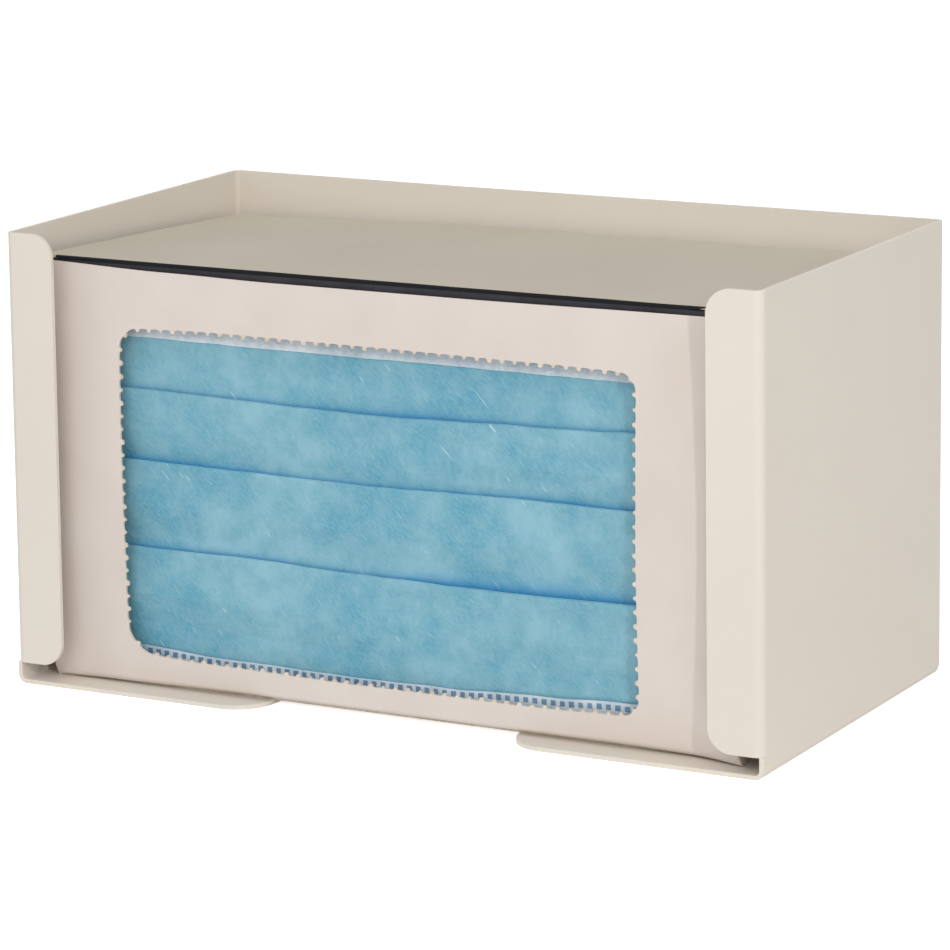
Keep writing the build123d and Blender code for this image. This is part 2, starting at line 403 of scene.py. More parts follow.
class Material:
    """A material with a Principled shader, its wiring and Object coordinates at hand."""

    def __init__(self, name, roughness, specular=0.5, sheen=0.0):
        self.made = bpy.data.materials.new(name)
        self.made.use_nodes = True
        self.made.node_tree.nodes.clear()
        self.w = Wiring(self.made.node_tree)
        self.shader = self.w.add("ShaderNodeBsdfPrincipled", {
            "Roughness": roughness,
            "Specular IOR Level": specular,
            "Sheen Weight": sheen,
            "Sheen Roughness": 0.5,
        })
        output = self.w.add("ShaderNodeOutputMaterial")
        self.w.tree.links.new(self.shader.outputs["BSDF"], output.inputs["Surface"])
        self.place = self.w.add("ShaderNodeTexCoord").outputs["Object"]

    def colour(self, value):
        self.w.tree.links.new(value, self.shader.inputs["Base Color"])

    def bump(self, height, distance):
        node = self.w.add("ShaderNodeBump", {"Height": height, "Distance": distance * MM, "Strength": 1.0})
        self.w.tree.links.new(node.outputs["Normal"], self.shader.inputs["Normal"])

    def group(self, group, **inputs):
        node = self.w.add("ShaderNodeGroup", node_tree=group)
        self.w.tree.links.new(self.place, node.inputs["Vector"])
        for name, value in inputs.items():
            self.w.feed(node.inputs[name.replace("_", " ").title()], value)
        return node.outputs["Color"], node.outputs["Height"]


def grained(name, roughness, specular, grain_scale, drift_scale, colour, drift_colour, speckle, depth):
    """A material with nothing but surface grain, from screen colours and its bump's depth."""
    m = Material(name, roughness, specular=specular)
    mixed, grain = m.group(grain_group, grain_scale=grain_scale, drift_scale=drift_scale,
                           color=srgb(*colour), drift_color=srgb(*drift_colour), speckle=speckle)
    m.colour(mixed)
    m.bump(grain, depth)
    return m.made


def fold_print_and_shade():
    """Dark print over the lid's front fold and tuck flap, worn to the board in places, and a near-black
    band of painted shade along the top of the fold.
    """
    m = Material("dark printed fold", 0.6, specular=0.15)
    colour, grain = m.group(grain_group, grain_scale=900.0, drift_scale=120.0, color=srgb(62, 62, 68),
                            drift_color=srgb(52, 52, 58), speckle=0.2)
    split = m.w.add("ShaderNodeSeparateXYZ", {"Vector": m.place})
    # Painted shade: near-black along the top of the fold, in place of the shadow in the gap under the lid's
    # front edge
    painted_fold_shade = m.w.span(split.outputs["Z"], fold_shade_low * MM, fold_shade_high * MM)
    colour = m.w.mix(painted_fold_shade, colour, srgb(14, 15, 20))
    fluff = m.w.noise(m.place, 1300.0, 4.0, 0.7)
    drawn = m.w.add("ShaderNodeMapping", {"Vector": m.place, "Scale": (0.03, 1.0, 1.0)})
    streak = m.w.noise(drawn.outputs["Vector"], 900.0, 3.0)
    patch = m.w.span(m.w.noise(m.place, 45.0, 2.0), 0.56, 0.66)
    worn = m.w.math("MULTIPLY", m.w.span(m.w.math("MULTIPLY", fluff, streak), 0.36, 0.44), patch)
    colour = m.w.mix(worn, colour, srgb(196, 190, 184))
    m.colour(colour)
    m.bump(grain, 0.04)
    return m.made


blue_cloth = {
    "color": srgb(117, 173, 191),
    "pale_color": srgb(142, 189, 205),
    "deep_color": srgb(92, 160, 184),
    "fibre_color": srgb(206, 226, 234),
    "streak_share": 0.6,
}
white_cloth = {
    "color": srgb(204, 216, 224),
    "pale_color": srgb(228, 236, 242),
    "deep_color": srgb(182, 200, 212),
    "fibre_color": srgb(244, 247, 250),
    "streak_share": 0.35,
}
weld_cloth = {
    "color": srgb(104, 140, 172),
    "pale_color": srgb(126, 158, 188),
    "deep_color": srgb(88, 122, 158),
    "fibre_color": srgb(140, 170, 196),
    "streak_share": 0.3,
}


def blue_nonwoven():
    """The mask's outer face, with painted shade: a deep saturated blue mixed in above each pleat's lip,
    where the lip shades the cloth.
    """
    m = Material("blue nonwoven", 0.62, specular=0.3, sheen=0.25)
    colour, height = m.group(fibre_group, **blue_cloth)
    valley = m.w.add("ShaderNodeAttribute", attribute_name="valley").outputs["Fac"]
    # Painted shade, deepest in the valleys above the pleats' lips
    m.colour(m.w.mix(valley, colour, srgb(14, 142, 204)))
    m.bump(height, 0.1)
    return m.made


def white_nonwoven():
    m = Material("white nonwoven", 0.65, specular=0.3, sheen=0.2)
    colour, height = m.group(fibre_group, **white_cloth)
    m.colour(colour)
    m.bump(height, 0.1)
    return m.made


def weld_blue():
    """Fused spots of the hem's weld, where the white ply is pressed clear onto the blue one."""
    m = Material("welded nonwoven", 0.4, specular=0.5)
    colour, height = m.group(fibre_group, **weld_cloth)
    m.colour(colour)
    m.bump(height, 0.05)
    return m.made


def stack_nonwoven():
    """The masks behind: blue where a ply faces the front between the hems, and white elsewhere."""
    m = Material("stacked nonwoven", 0.65, specular=0.3, sheen=0.2)
    blue, height = m.group(fibre_group, **blue_cloth)
    white, _ = m.group(fibre_group, **white_cloth)
    place = m.w.add("ShaderNodeSeparateXYZ", {"Vector": m.place}).outputs["Z"]
    normal = m.w.add("ShaderNodeNewGeometry").outputs["Normal"]
    facing = m.w.add("ShaderNodeSeparateXYZ", {"Vector": normal}).outputs["Y"]
    below = m.w.math("LESS_THAN", place, (mask_high.z - mask_hem_top) * MM)
    above = m.w.math("GREATER_THAN", place, (mask_low.z + mask_hem_bottom) * MM)
    front = m.w.math("LESS_THAN", facing, -0.5)
    m.colour(m.w.mix(m.w.math("MULTIPLY", front, m.w.math("MULTIPLY", below, above)), white, blue))
    m.bump(height, 0.1)
    return m.made


def elastic_knit():
    """White knitted elastic, ribbed along the band."""
    m = Material("white elastic knit", 0.75, specular=0.2)
    colour, grain = m.group(grain_group, grain_scale=1400.0, drift_scale=200.0, color=srgb(232, 232, 230),
                            drift_color=srgb(212, 212, 208), speckle=0.3)
    inputs = {"Vector": m.place, "Scale": 500.0, "Distortion": 1.5, "Detail": 1.0}
    wave = m.w.add("ShaderNodeTexWave", inputs, bands_direction="DIAGONAL")
    m.colour(m.w.mix(m.w.math("MULTIPLY", wave.outputs["Fac"], 0.3), colour, srgb(196, 196, 192)))
    m.bump(m.w.math("ADD", wave.outputs["Fac"], grain), 0.08)
    return m.made


def floor_white():
    """Pale floor that shows as white to the camera and keeps the object's shadow. To all other rays it
    glows in a painted pool of light in front of the object, to its right, which brightens the object's
    lower parts.
    """
    m = Material("pale floor", 0.9, specular=0.05)
    m.colour(m.w.mix(m.w.noise(m.place, 3.0, 2.0), srgb(240, 240, 240), srgb(244, 244, 243)))
    seen = m.w.add("ShaderNodeLightPath")
    direct = m.w.math("MAXIMUM", seen.outputs["Is Camera Ray"], seen.outputs["Is Transmission Ray"])
    reach = m.w.add("ShaderNodeVectorMath", {0: m.place, 1: pool_centre * MM}, operation="DISTANCE")
    pool = m.w.span(reach.outputs["Value"], 0.0, pool_radius * MM, pool_strength, 0.0)
    lift = m.w.add("ShaderNodeMix", {"Factor": direct, "A": pool, "B": floor_lift}, data_type="FLOAT")
    m.shader.inputs["Emission Color"].default_value = (1.0, 0.99, 0.97, 1.0)
    m.w.tree.links.new(lift.outputs["Result"], m.shader.inputs["Emission Strength"])
    return m.made


# Geometry Nodes: copies of a small piece at each point of a path

def make_copies_tree():
    tree = bpy.data.node_groups.new("copies at path points", "GeometryNodeTree")
    for name, kind in (
        ("Geometry", "NodeSocketGeometry"),
        ("Copy", "NodeSocketObject"),
        ("Material", "NodeSocketMaterial"),
        ("Length Spread", "NodeSocketFloat"),
        ("Turn Spread", "NodeSocketFloat"),
        ("Seed", "NodeSocketInt"),
    ):
        tree.interface.new_socket(name, in_out="INPUT", socket_type=kind)
    tree.interface.new_socket("Geometry", in_out="OUTPUT", socket_type="NodeSocketGeometry")
    w = Wiring(tree)
    inp = w.add("NodeGroupInput").outputs
    path = w.add("GeometryNodeMeshToCurve", {"Mesh": inp["Geometry"]})
    points = w.add("GeometryNodeCurveToPoints", {"Curve": path.outputs["Curve"]}, mode="EVALUATED")
    tangent = {"Vector": points.outputs["Tangent"]}
    along = w.add("FunctionNodeAlignRotationToVector", tangent, axis="X", pivot_axis="Y")
    copy = w.add("GeometryNodeObjectInfo", {"Object": inp["Copy"]})
    spread = w.add("FunctionNodeRandomValue", {"Seed": inp["Seed"]}, data_type="FLOAT")
    w.tree.links.new(w.math("SUBTRACT", 1.0, inp["Length Spread"]), spread.inputs[2])
    w.tree.links.new(w.math("ADD", 1.0, inp["Length Spread"]), spread.inputs[3])
    turn = w.add("FunctionNodeRandomValue", {"Seed": w.math("ADD", inp["Seed"], 1.0)}, data_type="FLOAT")
    w.tree.links.new(w.math("MULTIPLY", inp["Turn Spread"], -1.0), turn.inputs[2])
    w.tree.links.new(inp["Turn Spread"], turn.inputs[3])
    tilt = w.add("ShaderNodeCombineXYZ", {"Y": turn.outputs[1]})
    spin = w.add("FunctionNodeEulerToRotation", {"Euler": tilt.outputs["Vector"]})
    turns = {"Rotation": along.outputs["Rotation"], "Rotate By": spin.outputs["Rotation"]}
    turned = w.add("FunctionNodeRotateRotation", turns, rotation_space="LOCAL")
    size = w.add("ShaderNodeCombineXYZ", {"X": spread.outputs[1], "Y": 1.0, "Z": spread.outputs[1]})
    copies = w.add("GeometryNodeInstanceOnPoints", {
        "Points": points.outputs["Points"],
        "Instance": copy.outputs["Geometry"],
        "Rotation": turned.outputs["Rotation"],
        "Scale": size.outputs["Vector"],
    })
    real = w.add("GeometryNodeRealizeInstances", {"Geometry": copies.outputs["Instances"]})
    paint_inputs = {"Geometry": real.outputs["Geometry"], "Material": inp["Material"]}
    painted = w.add("GeometryNodeSetMaterial", paint_inputs)
    w.add("NodeGroupOutput", {"Geometry": painted.outputs["Geometry"]})
    return tree


copies_tree = make_copies_tree()


def copies_along(name, points, closed, copy, material, length_spread, turn_spread, seed):
    """One mesh of copies of an object at points in millimetres, each turned along the path."""
    count = len(points)
    edges = [(i, i + 1) for i in range(count - 1)] + ([(count - 1, 0)] if closed else [])
    mesh = bpy.data.meshes.new(name)
    mesh.from_pydata([Vector(p) * MM for p in points], edges, [])
    piece = bpy.data.objects.new(name, mesh)
    bpy.context.scene.collection.objects.link(piece)
    modifier = piece.modifiers.new("copies", "NODES")
    modifier.node_group = copies_tree
    values = {
        "Copy": copy,
        "Material": material,
        "Length Spread": length_spread,
        "Turn Spread": turn_spread,
        "Seed": seed,
    }
    for socket in copies_tree.interface.items_tree:
        if socket.in_out == "INPUT" and socket.name in values:
            modifier[socket.identifier] = values[socket.name]
    bake_modifiers(piece)
    bpy.data.objects.remove(copy)
    return piece


# Carton

def bend_board(point):
    """A point of the carton's wall after bowing, crushing and unevenness."""
    x, y, z = point
    behind = y - carton_low.y
    height = (z - carton_low.z) / (carton_high.z - carton_low.z)
    arch = sin(pi * min(max(height, 0.0), 1.0)) ** 0.8
    bow = bow_left + (bow_window - bow_left) * smoothstep(carton_low.x, window_left, x)
    bow += (bow_right - bow_window) * smoothstep(window_right - 10.0, carton_high.x - 6.0, x)
    front = max(0.0, 1 - behind / bow_fade_depth) ** 2
    at_front = max(0.0, 1 - behind / line_fade_depth) ** 2
    waves = panel_wave * noise.noise(Vector((x * 0.03, 4.0, z * 0.035)))
    crush = exp(-(((x - carton_high.x) / crush_reach) ** 2) - ((z - carton_low.z) / crush_height) ** 2)
    crease = crush_crease * noise.noise(Vector((x * 0.35, y * 0.3, z * 0.35))) * crush
    tuck_in = bottom_fold * max(0.0, 1 - (z - carton_low.z) / bottom_fold) ** 2
    back_drop = back_sag * smoothstep(sag_start, sag_end, x)
    back_drop *= smoothstep(-40.0, 48.0, y) * smoothstep(0.5, 1.0, height)
    inset = left_edge_inset * smoothstep(-90.0, -97.0, x) * smoothstep(left_inset_top, 0.0, z)
    y += front * (tuck_in - bow * arch - waves * arch - crush_forward * crush) - crease
    x += (crush_aside * crush + inset) * front
    z += at_front * height_shift(x, z, panel_lines) - back_drop
    return Vector((x, y, z))


def window_outline():
    """The window's edge, counterclockwise from its lower left.

    Each item is (scalloped point, smooth point a little further out, outer point, smooth edge
    point, is cusp).
    """
    left, right, bottom, top = window_left, window_right, window_bottom, window_top
    outer_left, outer_right = carton_low.x + carton_corner, carton_high.x - carton_corner
    outer_bottom, outer_top = carton_low.z, carton_high.z
    rightward, upward = Vector((1, 0)), Vector((0, 1))
    corners = (
        ("bottom_right", Vector((right, bottom)), Vector((outer_right, outer_bottom)), rightward, upward),
        ("top_right", Vector((right, top)), Vector((outer_right, outer_top)), upward, -rightward),
        ("top_left", Vector((left, top)), Vector((outer_left, outer_top)), -rightward, -upward),
        ("bottom_left", Vector((left, bottom)), Vector((outer_left, outer_bottom)), -upward, rightward),
    )
    side_nibs = round((top - bottom - 11) / nib_pitch)
    edge = []
    for index, (name, corner, outer, along, after) in enumerate(corners):
        before_name, before = corners[index - 1][:2]
        radius = window_radii[name]
        start = before + along * window_radii[before_name]
        end = corner - along * radius
        outward = -after
        margin = (outer - corner).dot(outward)
        level = abs(along.x) > 0.5
        nibs = round((end - start).length / nib_pitch) if level else side_nibs
        for step in range(nibs * scallop_steps):
            point = start.lerp(end, step / (nibs * scallop_steps))
            edge.append((point, outward, point + outward * margin, step))
        centre = end + after * radius
        first, last = end + outward * margin, corner + after * radius
        last = last + along * (outer - corner).dot(along)
        for step in range(2 * scallop_steps):
            share = step / (2 * scallop_steps)
            outward = along * sin(share * pi / 2) - after * cos(share * pi / 2)
            far = first.lerp(outer, 2 * share) if share < 0.5 else outer.lerp(last, 2 * share - 1)
            edge.append((centre + outward * radius, outward, far, step))
    items = []
    for point, outward, far, step in edge:
        phase = step % scallop_steps
        depth = scallop_depth * sin(pi * phase / scallop_steps) ** 0.6
        items.append((point + outward * depth, point + outward * edge_ring, far, point, phase == 0))
    return items


def carton_walls():
    """Front panel with its window, and the side and back walls, as one wrapped board."""
    edge = window_outline()
    count = len(edge)
    front = carton_low.y
    points = []
    for ring in range(frame_rings + 1):
        for scalloped, near, far, _, _ in edge:
            flat = near.lerp(far, (ring - 1) / (frame_rings - 1)) if ring else scalloped
            points.append(Vector((flat.x, front, flat.y)))
    faces = []
    for inner in range(0, frame_rings * count, count):
        outer = inner + count
        for i in range(count):
            after = (i + 1) % count
            faces.append((inner + i, outer + i, outer + after, inner + after))
    last_ring = frame_rings * count
    rim = range(last_ring, last_ring + count)
    right_column = [i for i in rim if points[i].x > carton_high.x - carton_corner - 0.001]
    left_column = [i for i in rim if points[i].x < carton_low.x + carton_corner + 0.001]
    right_column.sort(key=lambda i: points[i].z)
    left_column.sort(key=lambda i: points[i].z)
    plan = [
        (carton_high.x - carton_corner, carton_low.y),
        (carton_high.x, carton_low.y),
        (carton_high.x, carton_high.y),
        (carton_low.x, carton_high.y),
        (carton_low.x, carton_low.y),
        (carton_low.x + carton_corner, carton_low.y),
    ]
    path = divided(rounded_path(plan, carton_corner, 5), 6.0)[1:]
    while (path[0] - Vector(plan[0])).length < 0.01:
        path = path[1:]
    while (path[-1] - Vector(plan[-1])).length < 0.01:
        path = path[:-1]
    side_scale = (flap_top - carton_low.z) / (carton_high.z - carton_low.z)
    columns = [right_column]
    for step, place in enumerate(path):
        drop = 1 + (side_scale - 1) * smoothstep(0.0, carton_corner, place.y - carton_low.y)
        column = []
        for right, left in zip(right_column, left_column):
            z = points[right].lerp(points[left], step / len(path)).z
            column.append(len(points))
            points.append(Vector((place.x, place.y, carton_low.z + (z - carton_low.z) * drop)))
        columns.append(column)
    columns.append(left_column)
    for one, two in zip(columns, columns[1:]):
        faces += [(a, b, d, c) for a, b, c, d in zip(one, two, one[1:], two[1:])]
    walls = mesh_piece("carton_walls", [bend_board(p) for p in points], faces)
    return walls, edge


def flat_board(name, corners, rows, columns, sag, up):
    """A board from four corners, sagging towards its last edge, its printed face up or down."""
    root_near, tip_near, tip_far, root_far = (Vector(c) for c in corners)
    points = []
    for row in range(rows):
        along = row / (rows - 1)
        for column in range(columns):
            across = column / (columns - 1)
            near = root_near.lerp(tip_near, along)
            far = root_far.lerp(tip_far, along)
            point = near.lerp(far, across)
            point.z -= sag * along ** 2 * (0.8 + 0.4 * across)
            points.append(point)
    points = [bend_board(point) if up else point for point in points]
    faces = grid_faces(rows, columns)
    piece = mesh_piece(name, points, faces)
    normal = piece.data.polygons[0].normal.z
    if (normal > 0) != up:
        piece.data.flip_normals()
    return piece


def carton_flaps():
    """Top dust flaps, the folded bottom and its inner flaps, each a board of its own."""
    inset = board
    left, right = carton_low.x, carton_high.x
    near, far = carton_low.y + flap_front_gap, carton_high.y - flap_back_gap
    kinds = (("top", flap_top - flap_drop, flap_sag, True), ("bottom", carton_low.z + board, 0.0, False))
    flaps = []
    for side, root in ((1, left), (-1, right)):
        tip = root + side * flap_reach
        start = root + side * flap_root_gap
        for name, z, sag, up in kinds:
            tip_near, tip_far = near + flap_taper, far - flap_taper
            corners = ((start, near, z), (tip, tip_near, z), (tip, tip_far, z), (start, far, z))
            flaps.append(flat_board(f"{name}_flap", corners, 14, 12, sag, up))
    z = carton_low.z
    near = carton_low.y + bottom_setback
    corners = ((left + inset, near, z), (right - inset, near, z),
               (right - inset, carton_high.y - inset, z), (left + inset, carton_high.y - inset, z))
    flaps.append(flat_board("bottom_panel", corners, 20, 10, 0.0, False))
    return flaps


def join_pieces(first, others):
    """Joins meshes into the first one, and removes the others."""
    merged = bmesh.new()
    merged.from_mesh(first.data)
    for piece in others:
        merged.from_mesh(piece.data)
        bpy.data.objects.remove(piece)
    merged.to_mesh(first.data)
    merged.free()


def torn_nib():
    """A torn stub of board between two perforation cuts, standing along Z."""
    half_base, half_tip, sunk, length = 0.62, 0.4, 0.3, 0.5
    outline = [(-half_base, -sunk), (half_base, -sunk), (half_base * 0.8, 0.0), (half_tip, length * 0.8),
               (0.05, length), (-half_tip * 0.9, length * 0.7), (-half_base * 0.85, 0.0)]
    near = [(x, 0.03, z) for x, z in outline]
    far = [(x * 0.92, board - 0.05, z * (0.85 if z > 0 else 1)) for x, z in outline]
    count = len(outline)
    faces = [tuple(range(count)), tuple(reversed(range(count, 2 * count)))]
    faces += [(i, i + count, (i + 1) % count + count, (i + 1) % count) for i in range(count)]
    return mesh_piece("nib", near + far, faces)


def make_carton(materials):
    walls, edge = carton_walls()
    join_pieces(walls, carton_flaps())
    for material in materials:
        walls.data.materials.append(material)
    thicken(walls, board)
    smooth_by_angle(walls, 35)
    cusps = [bend_board((point.x, carton_low.y, point.y)) for _, _, _, point, is_cusp in edge if is_cusp]
    nibs = copies_along("window_nibs", cusps, True, torn_nib(), materials[2], 0.35, 0.25, 7)
    nibs.data.shade_flat()
    for piece in (walls, nibs):
        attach(piece, DISPENSER)
    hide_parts("mask_carton")


# Lid

joint = frame["joints"][0]
lid_axis = Vector(joint["pos_m"]) / MM
lid_lift = radians(1.6)
lid_half = (lid_high.x - lid_low.x) / 2
lid_middle = (lid_high.x + lid_low.x) / 2
tuck_lean = radians(5.0)
tuck_length = 13.5
tuck_right_inset = 8.8
tuck_left_inset = 3.5
tuck_round = 5.0
lid_fold = (lid_axis.y - lid_low.y) / cos(lid_lift) - board / 2
fold_top = lid_axis.z + lid_fold * sin(lid_lift) + board / 2
# Heights of the near-black band of painted shade at the top of the fold
fold_shade_low = fold_top - 1.1
fold_shade_high = fold_top - 0.75
print_margin = 0.7
ear_setback = 2.4
dark_slot = 3
edge_slot = 5


def lid_point(u, v, x):
    """A point of the lid: u forward from its hinge, v off its board, turned by its lift."""
    forward = u * cos(lid_lift) + v * sin(lid_lift)
    rise = u * sin(lid_lift) + v * cos(lid_lift)
    return Vector((x, lid_axis.y - forward, lid_axis.z + rise))


def make_lid(materials):
    """Lid panel, front fold and tuck flap as one board, printed dark from the fold down, with painted shade
    along the fold's top.

    Its ears are the panel's ends beside the tuck flap, set back behind the carton's front.
    """
    corners = [(0.0, 0.0), (lid_fold, 0.0), (lid_fold - tuck_length * tan(tuck_lean), -tuck_length)]
    path = divided(rounded_path(corners, 0.55, 6), 3.0)
    rows = []
    for place in path:
        depth = -place.y
        tip = smoothstep(tuck_length - tuck_round, tuck_length, depth)
        rows.append((place.x, place.y, smoothstep(0.25, 0.45, depth), tip))
    columns = 90
    left_ear, right_ear = tuck_left_inset - lid_half, lid_half - 6.0
    points = []
    for u, v, cut, tip in rows:
        left = -lid_half + cut * tuck_left_inset + tuck_round * tip ** 2
        right = lid_half - cut * tuck_right_inset - tuck_round * tip ** 2
        for column in range(columns):
            x = left + (right - left) * column / (columns - 1)
            share = u / lid_fold
            wave = 0.2 * noise.noise(Vector((x * 0.018, u * 0.02, 2.0))) * sin(pi * min(share, 1.0))
            wave += 0.08 * noise.noise(Vector((x * 0.06, u * 0.04, 9.0))) * share
            droop = -0.5 * sin(pi * min(share, 1.0)) * (1 - (x / lid_half) ** 2)
            sag = back_sag * smoothstep(sag_start, sag_end, x) * (1 - min(share, 1.0)) ** 1.2
            ear = smoothstep(right_ear, right_ear + 2.0, x) + smoothstep(left_ear, left_ear - 1.0, x)
            setback = ear_setback * ear * (1 - cut) * smoothstep(lid_fold - 4.0, lid_fold - 0.6, u)
            points.append(lid_point(u - setback, v + wave + droop - sag, lid_middle + x))
    lid = mesh_piece("lid_board", points, grid_faces(len(rows), columns))
    if lid.data.polygons[0].normal.z < 0:
        lid.data.flip_normals()
    limit = lid_fold - print_margin
    tuck_left, tuck_right = lid_low.x + tuck_left_inset, lid_high.x - tuck_right_inset
    for face in lid.data.polygons:
        u, v, cut, _ = rows[face.index // (columns - 1)]
        if u > limit or v < -1.0:
            inside_tuck = tuck_left < face.center.x / MM < tuck_right
            face.material_index = dark_slot if inside_tuck or v < -1.0 else edge_slot
    for material in materials:
        lid.data.materials.append(material)
    thicken(lid, board, offset=0.0)
    smooth_by_angle(lid, 40)
    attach(lid, LID)
    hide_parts("carton_lid")


# Front mask

def lip_share(x, z):
    """Lift of the pleat lip that reaches (x, z), and how near below its fold that is."""
    for fold, lifts in zip(pleat_folds, lip_lifts):
        below = mask_low.z + fold - z
        if -0.5 < below < lip_reach:
            return along_pairs(x, lifts), (1 - max(below, 0.0) / lip_reach) ** 2
    return 0.0, 0.0


def bend_mask(point):
    """A point of the front mask after its lips lift, its lines wander and its cloth billows."""
    x, y, z = point
    depth = min((mask_high.y - ply / 2 - y) / (2 * layer), 1.0)
    lift, near = lip_share(x, z)
    y -= lift * near * depth
    billow = 0.5 * noise.noise(Vector((x * 0.022, 3.0, z * 0.045)))
    billow += 0.3 * noise.noise(Vector((x * 0.07 + z * 0.05, 5.0, z * 0.09)))
    billow += 0.12 * noise.noise(Vector((x * 0.2 + z * 0.1, 8.0, z * 0.2)))
    edge = smoothstep(0.0, 14.0, min(x - mask_low.x, mask_high.x - x))
    hold = smoothstep(0.0, 8.0, min(z - mask_low.z, mask_high.z - z))
    above_crease = z - crease_height - 0.5 * sin(x * 0.03)
    crease = crease_depth * exp(-((above_crease / crease_width) ** 2)) * smoothstep(60.0, -40.0, x)
    clear_of_tuck = smoothstep(93.0, 84.0, z)
    y -= (billow - 0.1) * edge * (0.3 + 0.7 * hold) * clear_of_tuck - crease
    z += height_shift(x, z, mask_lines) + 0.15 * noise.noise(Vector((x * 0.12, 1.0, z * 0.12)))
    return Vector((x, y, z))


def painted_valley_shade(x, y, z):
    """Share of painted shade at a point, from 0 to 1: how far it lies in the shaded valley above a pleat's
    lip.
    """
    if y < mask_high.y - ply / 2 - 0.3 * layer:
        return 0.0
    for fold, lifts in zip(pleat_folds, lip_lifts):
        above = z - mask_low.z - fold
        if -2.0 < above < 4.0:
            lift = along_pairs(x, lifts)
            return (0.35 + 0.5 * min(lift, 1.0)) * exp(-max(above, 0.0) / (0.25 + 0.75 * lift))
    return 0.0


def mask_section():
    """The mask's path in (y, z), from the top hem's edge down to the bottom hem's edge."""
    back = mask_high.y - ply / 2
    top = mask_high.z - ply / 2
    bottom = mask_low.z + ply / 2
    corners = [(back - layer, mask_high.z - mask_hem_top), (back - layer, top), (back, top)]
    for height in pleat_folds:
        fold = mask_low.z + height
        heel = fold - pleat_depth
        corners += [
            (back, heel),
            (back - layer, heel),
            (back - layer, fold),
            (back - 2 * layer, fold),
            (back - 2 * layer, heel - pleat_toe),
            (back, heel - pleat_toe - pleat_run),
        ]
    corners += [
        (back, bottom),
        (back - wire_step, bottom),
        (back - wire_step, mask_low.z + mask_hem_bottom),
    ]
    return divided(rounded_path(corners, fold_radius, 5), 1.2)


def make_front_mask(materials):
    """The front mask's cloth, and its flat size in metres."""
    path = mask_section()
    columns = 120
    width = mask_high.x - mask_low.x
    across = [mask_low.x + width * column / (columns - 1) for column in range(columns)]
    places = [(x, y, z) for y, z in path for x in across]
    bent = [bend_mask(place) for place in places]
    mask = mesh_piece("front_mask_cloth", bent, grid_faces(len(path), columns))
    shade = mask.data.attributes.new("valley", "FLOAT", "POINT")
    shade.data.foreach_set("value", [painted_valley_shade(*place) for place in places])
    front_row = 2 * int(mask_hem_top / 0.8)
    if mask.data.polygons[front_row * (columns - 1)].normal.y > 0:
        mask.data.flip_normals()
    for material in materials:
        mask.data.materials.append(material)
    thicken(mask, ply, offset=0.0)
    smooth_by_angle(mask, 60)
    length = sum((b - a).length for a, b in zip(path, path[1:]))
    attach(mask, DISPENSER)
    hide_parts("front_mask")
    return mask, (width * MM, length * MM)


def weld_spot():
    """A fused spot of the hem's weld: a thin pad with bevelled sides."""
    half, rim, lift = weld_size / 2, 0.12, 0.1
    base = [(-half, 0.0, -half), (half, 0.0, -half), (half, 0.0, half), (-half, 0.0, half)]
    inner = half - rim
    front = [(-inner, -lift, -inner), (inner, -lift, -inner), (inner, -lift, inner), (-inner, -lift, inner)]
    faces = [(4, 5, 6, 7), (3, 2, 1, 0)]
    faces += [(i, (i + 1) % 4, (i + 1) % 4 + 4, i + 4) for i in range(4)]
    return mesh_piece("weld_spot", base + front, faces)


def make_welds(material):
    """The row of welded spots along the bottom hem."""
    below_edge, end_gap, sunk = 1.35, 3.0, 0.03
    hem_y = mask_high.y - ply - wire_step
    count = int((mask_high.x - mask_low.x - 2 * end_gap) / weld_pitch)
    start = (mask_low.x + mask_high.x - count * weld_pitch) / 2
    z = mask_low.z + mask_hem_bottom - below_edge
    places = [bend_mask((start + step * weld_pitch, hem_y + sunk, z)) for step in range(count + 1)]
    welds = copies_along("hem_welds", places, False, weld_spot(), material, 0.06, 0.03, 3)
    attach(welds, DISPENSER)


# Shell

left_lean_foot = -0.35
left_lean_rise = 1.2
left_lean_back = 2.2
left_back_rise = 0.3
flange_trim = 0.7


def bend_shell(point):
    """A point of the shell after the left wall's lean and its narrower flange, as it was bent."""
    x, y, z = point
    height = max(z / shell_high.z, 0.0)
    back = (y - shell_low.y) / (shell_high.y - shell_low.y)
    lean = (left_lean_foot + left_lean_rise * height) * (1 - back) + left_lean_back * height ** 1.5 * back
    share = min(max((-x - 30.0) / (-shell_low.x - 30.0), 0.0), 1.0)
    on_flange = y < shell_low.y + 2.5 and z > 4.0 and x < 0
    if on_flange:
        share = 1.0
        lean -= flange_trim * (x - shell_low.x) / 14.0
    rise = left_back_rise * share * back * height
    return Vector((x + lean * share, y, z + rise))


